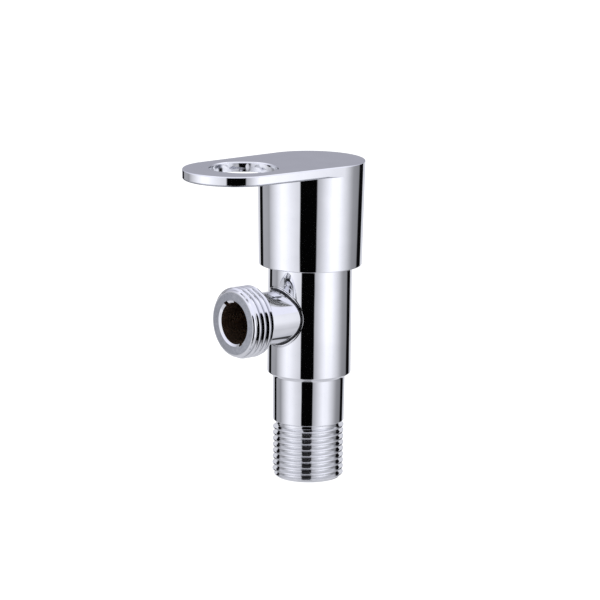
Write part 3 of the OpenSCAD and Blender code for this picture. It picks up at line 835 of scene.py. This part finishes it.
class Nodes:
    """Short way to write the node tree of a material or a world."""

    def __init__(self, owner):
        owner.use_nodes = True
        self.owner, self.tree = owner, owner.node_tree
        self.tree.nodes.clear()

    def add(self, kind, inputs=None, out=0, **settings):
        node = self.tree.nodes.new(kind)
        for key, value in settings.items():
            setattr(node, key, value)
        for key, value in (inputs or {}).items():
            socket = node.inputs[key]
            if isinstance(value, bpy.types.NodeSocket):
                self.tree.links.new(value, socket)
            else:
                socket.default_value = value
        return node.outputs[out]

    def math(self, operation, *values):
        return self.add("ShaderNodeMath", dict(enumerate(values)), operation=operation)

    def ramp(self, factor, stops):
        node = self.tree.nodes.new("ShaderNodeValToRGB")
        elements = node.color_ramp.elements
        while len(elements) < len(stops):
            elements.new(1.0)
        for element, (at, colour) in zip(elements, stops):
            element.position = at
            element.color = (*colour, 1)
        self.tree.links.new(factor, node.inputs[0])
        return node.outputs[0]

    def split(self, vector):
        return self.add("ShaderNodeSeparateXYZ", {0: vector}, out=slice(None))

    def mix_tones(self, first, second, share):
        """share of the first tone and the rest of the second."""
        return self.math("ADD", self.math("MULTIPLY", first, share),
                         self.math("MULTIPLY", second, 1 - share))

    def to_output(self, shader, kind="Material"):
        node = self.tree.nodes.new(f"ShaderNodeOutput{kind}")
        self.tree.links.new(shader, node.inputs["Surface"])
        return self.owner

    def principled(self, colour, metallic, rough, normal):
        """Ends a material with its shader and returns it."""
        return self.to_output(self.add("ShaderNodeBsdfPrincipled", {
            "Base Color": colour, "Metallic": metallic, "Roughness": rough, "Normal": normal}))

    def noise(self, at, size, detail=2.0, stretch=(1, 1, 1), roughness=0.5):
        """Noise whose features are about size metres across, shorter along a stretched axis."""
        scale = tuple(s / size for s in stretch)
        at = self.add("ShaderNodeMapping", {"Vector": at, "Scale": scale})
        return self.add("ShaderNodeTexNoise",
                        {"Vector": at, "Scale": 1.0, "Detail": detail, "Roughness": roughness})

    def between(self, value, low, high, to_low, to_high):
        return self.add("ShaderNodeMapRange", {0: value, 1: low, 2: high, 3: to_low, 4: to_high})

    def bump(self, height, depth, normal=None):
        inputs = {"Height": height, "Distance": depth, "Strength": 1.0}
        if normal is not None:
            inputs["Normal"] = normal
        return self.add("ShaderNodeBump", inputs)


def new_material(name):
    """The nodes of a new material, and their place on the object in metres."""
    nodes = Nodes(bpy.data.materials.new(name))
    return nodes, nodes.add("ShaderNodeTexCoord", out=3)


def outlet_root_shade_mask(nodes, at):
    """Mask of the painted shade in the outlet thread's roots: 1 at the root, 0 from half its depth
    upwards and everywhere else.
    """
    x, y, z = nodes.split(at)
    flat = nodes.add("ShaderNodeCombineXYZ", {0: x, 1: nodes.math("SUBTRACT", z, OUTLET_Z), 2: 0.0})
    r = nodes.add("ShaderNodeVectorMath", {0: flat}, out=1, operation="LENGTH")
    root = nodes.between(r, THREAD_R - OUTLET_DEPTH, THREAD_R - 0.5 * OUTLET_DEPTH, 1.0, 0.0)
    begun = nodes.math("LESS_THAN", y, -OUTLET_SHOULDER_W)
    ended = nodes.math("GREATER_THAN", y, -OUTLET_FADE[1])
    return nodes.math("MULTIPLY", root, nodes.math("MULTIPLY", begun, ended))


def chrome(name, tint, wave, shade_mask=None):
    """Mirror plating over a polished casting: long waves, fine wipe marks and faint haze; where a
    root mask is given, painted shade darkens the colour in the thread's roots.
    """
    nodes, at = new_material(name)
    swell = nodes.noise(at, 0.009, 1.0, (1, 1, 0.6))
    peel = nodes.noise(at, 0.0012, 2.0)
    haze = nodes.noise(at, 0.006, 4.0, roughness=0.6)
    wipe = nodes.noise(at, 0.0004, 2.0, (1, 1, 0.06))
    normal = nodes.bump(peel, 1.2e-7, nodes.bump(swell, wave))
    marks = nodes.between(wipe, 0.62, 0.75, 0.0, 0.02)
    rough = nodes.math("ADD", nodes.between(haze, 0.35, 0.7, 0.018, 0.05), marks)
    dull = tuple(0.94 * c for c in tint)
    colour = nodes.ramp(haze, [(0.3, tint), (0.75, dull)])
    if shade_mask:
        # Painted shade: the masked thread roots turn to this darker grey
        colour = nodes.add("ShaderNodeMixRGB", {0: shade_mask(nodes, at), 1: colour, 2: ROOT_SHADE_GREY})
    return nodes.principled(colour, 1.0, rough, normal)


def turned_metal(name, colour, dark, rough):
    """Lathe-turned metal: fine rings along the stem axis, stains and a soft sheen."""
    nodes, at = new_material(name)
    rings = nodes.noise(at, 0.0003, 2.0, (0.02, 0.02, 1))
    stain = nodes.noise(at, 0.004, 4.0, roughness=0.6)
    tone = nodes.mix_tones(rings, stain, 0.35)
    colour = nodes.ramp(tone, [(0.35, dark), (0.6, colour)])
    rough = nodes.between(tone, 0.3, 0.7, rough + 0.12, rough)
    return nodes.principled(colour, 1.0, rough, nodes.bump(rings, 1.5e-6))


def shaded_satin_chrome(name, dark, pale, low):
    """Rough plating over cast metal that no polishing wheel reaches, its colour darkened below the
    chrome's as painted shade; low is the least roughness.
    """
    nodes, at = new_material(name)
    grain = nodes.noise(at, 0.0003, 3.0)
    cloud = nodes.noise(at, 0.004, 4.0, roughness=0.6)
    colour = nodes.ramp(cloud, [(0.3, dark), (0.7, pale)])
    rough = nodes.between(cloud, 0.3, 0.7, low, low + 0.12)
    return nodes.principled(colour, 1.0, rough, nodes.bump(grain, 4e-6))


def hole_chrome(name):
    """Plating of the finger hole's wall: bright, but never buffed flat."""
    nodes, at = new_material(name)
    swell = nodes.noise(at, 0.0032, 1.0)
    haze = nodes.noise(at, 0.002, 3.0)
    colour = nodes.ramp(haze, [(0.35, (0.66, 0.67, 0.70)), (0.65, (0.86, 0.865, 0.88))])
    rough = nodes.between(haze, 0.3, 0.7, 0.12, 0.05)
    return nodes.principled(colour, 1.0, rough, nodes.bump(swell, 3e-4))


def painted_corner_shade(name):
    """Painted shade in the fillet's inside corner: a dark, rough colour that stands in for the
    shade and dark reflection there.
    """
    nodes, at = new_material(name)
    residue = nodes.noise(at, 0.0008, 4.0, roughness=0.6)
    colour = nodes.ramp(residue, [(0.35, (0.012, 0.012, 0.014)), (0.7, (0.07, 0.07, 0.075))])
    rough = nodes.between(residue, 0.3, 0.7, 0.28, 0.42)
    return nodes.principled(colour, 0.8, rough, nodes.bump(residue, 8e-6))


def machined_chrome(name):
    """Plating over a face that was turned and left matt."""
    nodes, at = new_material(name)
    grain = nodes.noise(at, 0.0002, 3.0)
    cloud = nodes.noise(at, 0.0015, 4.0, roughness=0.6)
    tone = nodes.mix_tones(grain, cloud, 0.4)
    colour = nodes.ramp(tone, [(0.35, (0.44, 0.455, 0.49)), (0.65, (0.60, 0.615, 0.65))])
    rough = nodes.between(grain, 0.3, 0.7, 0.14, 0.24)
    return nodes.principled(colour, 1.0, rough, nodes.bump(grain, 2e-6))


def bore_brass(name):
    """Tarnished brass of the waterway, streaked by the drill and browned by water."""
    nodes, at = new_material(name)
    rings = nodes.noise(at, 0.00045, 3.0, (0.05, 1, 0.05))
    tarnish = nodes.noise(at, 0.0035, 5.0, (1, 0.5, 1), roughness=0.65)
    tone = nodes.mix_tones(rings, tarnish, 0.4)
    colour = nodes.ramp(tone, [(0.33, (0.07, 0.048, 0.034)), (0.5, (0.23, 0.16, 0.11)),
                               (0.68, (0.44, 0.33, 0.24))])
    rough = nodes.between(tone, 0.3, 0.7, 0.36, 0.22)
    return nodes.principled(colour, 0.9, rough, nodes.bump(rings, 6e-6))


def moulded(name, colour, shade, rough, grain, depth, speck):
    """Moulded or pressed non-metal: faint mottling over a fine grain."""
    nodes, at = new_material(name)
    mottle = nodes.noise(at, 0.003, 3.0)
    fine = nodes.noise(at, grain, 3.0)
    tone = nodes.mix_tones(fine, mottle, speck)
    colour = nodes.ramp(tone, [(0.35, shade), (0.65, colour)])
    rough = nodes.between(fine, 0.3, 0.7, rough + 0.08, rough - 0.05)
    return nodes.principled(colour, 0.0, rough, nodes.bump(fine, depth))


CHROME_TINT = (0.90, 0.905, 0.92)
# Tint, height of the long waves, and the mask of painted shade in the thread roots
CHROMED = {
    "chromed_brass": (CHROME_TINT, 5e-5, outlet_root_shade_mask),
    "chromed_zinc": (CHROME_TINT, 5e-5),
    "plug_chrome": ((0.84, 0.85, 0.87), 2e-5),
}
# Colour, darker colour, roughness
TURNED = {
    "brass": ((0.80, 0.60, 0.30), (0.52, 0.36, 0.16), 0.24),
    "spindle_brass": ((0.76, 0.57, 0.28), (0.55, 0.38, 0.17), 0.16),
    "adapter_brass": ((0.78, 0.60, 0.33), (0.50, 0.36, 0.18), 0.28),
    "plain_steel": ((0.68, 0.69, 0.71), (0.48, 0.49, 0.51), 0.26),
    "spring_steel": ((0.40, 0.41, 0.44), (0.24, 0.25, 0.27), 0.34),
    "black_steel": ((0.10, 0.10, 0.11), (0.04, 0.04, 0.045), 0.36),
}
# Colour, shade, roughness, size and height of the grain, and its share of the colour
MOULDED = {
    "fibre": ((0.46, 0.10, 0.07), (0.24, 0.045, 0.03), 0.75, 0.00025, 1e-5, 0.6),
    "acetal": ((0.88, 0.86, 0.80), (0.78, 0.76, 0.69), 0.38, 0.0004, 1e-6, 0.3),
    "nylon": ((0.90, 0.90, 0.87), (0.80, 0.80, 0.76), 0.42, 0.0004, 1e-6, 0.3),
    "rubber": ((0.030, 0.030, 0.032), (0.012, 0.012, 0.013), 0.62, 0.0003, 4e-6, 0.3),
    "ceramic_white": ((0.88, 0.88, 0.85), (0.80, 0.80, 0.76), 0.16, 0.0002, 4e-7, 0.3),
    "ceramic_grey": ((0.66, 0.68, 0.72), (0.56, 0.58, 0.62), 0.16, 0.0002, 4e-7, 0.3),
}


def all_materials():
    """The record's material slots."""
    groups = (chrome, CHROMED), (turned_metal, TURNED), (moulded, MOULDED)
    return {name: make(name, *look) for make, looks in groups for name, look in looks.items()}


def dress_cad_nodes(materials):
    """Gives every CAD node the material of its record slot."""
    slots = {part["node"]: part["material_slot"] for part in frame["record"]["subparts"]}
    for name, node in frame["nodes"].items():
        for slot in node.material_slots:
            slot.material = materials[slots[name]]


# ---- Studio


def cool_light(level, blue=1.0):
    """Linear light of an 8-bit display level, with the studio's faint lavender cast."""
    share = level / 255
    light = share / 12.92 if share <= 0.04045 else ((share + 0.055) / 1.055) ** 2.4
    return (0.97 * light, 0.98 * light, 1.06 * blue * light)


def flat_colour(level):
    return (*cool_light(level), 1)


# Each table goes round the walls: the azimuth, from the camera and positive to the right, at
# which an upright surface on the stem shows a place, and that place's display level. These are
# the walls at the valve's height: two soft boxes left and right of a black gap.
WALL_LEVELS = [
    (-180, 205), (-149, 215), (-147, 8), (-131, 8), (-129, 163), (-110, 158), (-104, 152),
    (-99, 180), (-88, 215), (-76, 246), (-66, 262), (-56, 258), (-44, 240), (-30, 222),
    (-24.5, 218), (-22.5, 3), (12, 3), (14.2, 176), (21, 196), (30, 224), (40, 250), (48, 264),
    (64, 258), (74, 236), (86, 206), (96, 172), (104, 148), (123, 132), (126.5, 10),
    (145.5, 10), (148, 215), (180, 205),
]
# Above the gap, and the wall behind the valve
HIGH_LEVELS = [
    (-180, 162), (-150, 162), (-120, 196), (-90, 236), (90, 236), (120, 196), (150, 162),
    (180, 162),
]
# Below the soft boxes
LOW_LEVELS = [
    (-180, 196), (-60, 204), (-30, 196), (-22.5, 66), (12, 66), (16, 196), (60, 204), (180, 196),
]
# The top of the walls, and what lies beyond them above and below
TOP_LEVEL = 262
ZENITH_LEVEL = 196
FLOOR_LEVEL = 190
# How much bluer the walls are above the gap
HIGH_BLUE = 1.075
# The soft boxes fade downwards over this height, to this share of their light
FADE_Z = (0.0, 0.030)
FADE_SHARE = 0.87
# Heights over which the middle table gives way to the low, the high and the top light
LOW_BLEND = (-0.026, -0.046)
HIGH_BLEND = (0.083, 0.092)
TOP_BLEND = (0.16, 0.26)
# Radius of the upright surface that the tables' azimuths are meant for
STEM_R = 0.014


def wall_ramp(nodes, share, levels, blue=1.0):
    def place(degrees):
        turn = math.radians(degrees)
        return (turn - math.asin(STEM_R * math.sin(turn / 2) / WALL_R)) / (2 * math.pi) + 0.5

    return nodes.ramp(share, [(place(a), cool_light(level, blue)) for a, level in levels])


def hide_from(piece, *rays):
    for ray in (*rays, "transmission", "shadow", "volume_scatter"):
        setattr(piece, f"visible_{ray}", False)


def make_walls():
    """Soft boxes and black gaps close round the valve, seen only in its reflections."""
    nodes, at = new_material("studio_walls")
    x, y, z = nodes.split(at)
    around = nodes.math("ARCTAN2", x, nodes.math("MULTIPLY", y, -1.0))
    share = nodes.math("MULTIPLY_ADD", around, 1 / (2 * math.pi), 0.5)
    fade = nodes.between(z, *FADE_Z, FADE_SHARE, 1.0)
    middle = wall_ramp(nodes, share, WALL_LEVELS)
    colour = nodes.add("ShaderNodeMixRGB", {0: 1.0, 1: middle, 2: fade}, blend_type="MULTIPLY")
    for (start, end), other in ((LOW_BLEND, wall_ramp(nodes, share, LOW_LEVELS)),
                                (HIGH_BLEND, wall_ramp(nodes, share, HIGH_LEVELS, HIGH_BLUE)),
                                (TOP_BLEND, flat_colour(TOP_LEVEL))):
        mix = nodes.add("ShaderNodeMapRange", {0: z, 1: start, 2: end},
                        interpolation_type="SMOOTHSTEP")
        colour = nodes.add("ShaderNodeMixRGB", {0: mix, 1: colour, 2: other})
    glow = nodes.add("ShaderNodeEmission", {"Color": colour, "Strength": STUDIO_GAIN})
    shell = Shell()
    lathe(shell, [(WALL_R, z) for z in WALL_Z], on_stem, full_turn(128))
    walls = shell.build("studio_walls", [nodes.to_output(glow)])
    walls.rotation_euler = (0, 0, CAMERA_AZIMUTH)
    hide_from(walls, "camera")


def make_world():
    """Zenith and floor beyond the walls."""
    world = bpy.data.worlds.new("studio")
    bpy.context.scene.world = world
    nodes = Nodes(world)
    up = nodes.split(nodes.add("ShaderNodeTexCoord", out=0))[2]
    mix = nodes.add("ShaderNodeMapRange", {0: up, 1: -0.1, 2: 0.1})
    colour = nodes.add("ShaderNodeMixRGB", {0: mix, 1: flat_colour(FLOOR_LEVEL),
                                            2: flat_colour(ZENITH_LEVEL)})
    shader = nodes.add("ShaderNodeBackground", {"Color": colour, "Strength": STUDIO_GAIN})
    nodes.to_output(shader, "World")


def make_sweep():
    """White floor that curves up into a backdrop all round, with a lid; seen only by the camera."""
    nodes, at = new_material("studio_white")
    grain = nodes.noise(at, 0.02, 2.0)
    glow = nodes.add("ShaderNodeEmission", {"Color": (1, 1, 1, 1), "Strength": 0.97})
    white = nodes.ramp(grain, [(0.3, (0.30, 0.30, 0.30)), (0.7, (0.32, 0.32, 0.32))])
    paint = nodes.add("ShaderNodeBsdfDiffuse", {"Color": white})
    material = nodes.to_output(nodes.add("ShaderNodeAddShader", {0: glow, 1: paint}))
    shell = Shell()
    lathe(shell, [(0, SWEEP_TOP_Z), (SWEEP_R, SWEEP_TOP_Z), (SWEEP_R, 0, SWEEP_ROUND), (0, 0)],
          on_stem, full_turn(64), arc_steps=12)
    sweep = shell.build("studio_sweep", [material])
    sweep.data.flip_normals()
    hide_from(sweep, "glossy", "diffuse")


def make_camera():
    """The photograph's view, with its slight roll."""
    turn = Matrix.Rotation(CAMERA_AZIMUTH, 3, "Z")
    ahead = Vector((0, math.cos(CAMERA_ELEVATION), -math.sin(CAMERA_ELEVATION)))
    right = Vector((1, 0, 0))
    up = right.cross(ahead)
    place = Vector((CAMERA_ASIDE, 0, CAMERA_AIM_Z)) - CAMERA_DISTANCE * ahead
    across = math.cos(CAMERA_ROLL) * right + math.sin(CAMERA_ROLL) * up
    upright = math.cos(CAMERA_ROLL) * up - math.sin(CAMERA_ROLL) * right
    axes = Matrix([turn @ across, turn @ upright, turn @ -ahead]).transposed()
    camera = bpy.data.objects.new("camera", bpy.data.cameras.new("camera"))
    camera.data.lens, camera.data.sensor_width = CAMERA_LENS_MM, CAMERA_SENSOR_MM
    camera.data.clip_start, camera.data.clip_end = 0.05, 10
    camera.matrix_world = Matrix.Translation(turn @ place) @ axes.to_4x4()
    bpy.context.scene.collection.objects.link(camera)
    bpy.context.scene.camera = camera


make_camera()
make_world()
make_walls()
make_sweep()
bpy.context.scene.view_settings.view_transform = "Standard"
materials = all_materials()
dress_cad_nodes(materials)

# Slot 3, the fillet's corner, is painted shade
body = valve_body([materials["chromed_brass"], bore_brass("waterway_brass"),
                   machined_chrome("machined_chrome"), painted_corner_shade("painted_corner_shade")])
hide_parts("valve_body")
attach(body, "valve")

# The lower edge, and the underside and inside, get darker chrome colours: painted shade
handle = handle_piece([
    materials["chromed_zinc"],
    shaded_satin_chrome("shaded_satin_chrome", (0.40, 0.41, 0.44), (0.54, 0.555, 0.585), 0.26),
    shaded_satin_chrome("underside_painted_shade", (0.13, 0.135, 0.15), (0.24, 0.25, 0.27), 0.20),
    hole_chrome("hole_chrome")])
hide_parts("handle")
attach(handle, "lever")
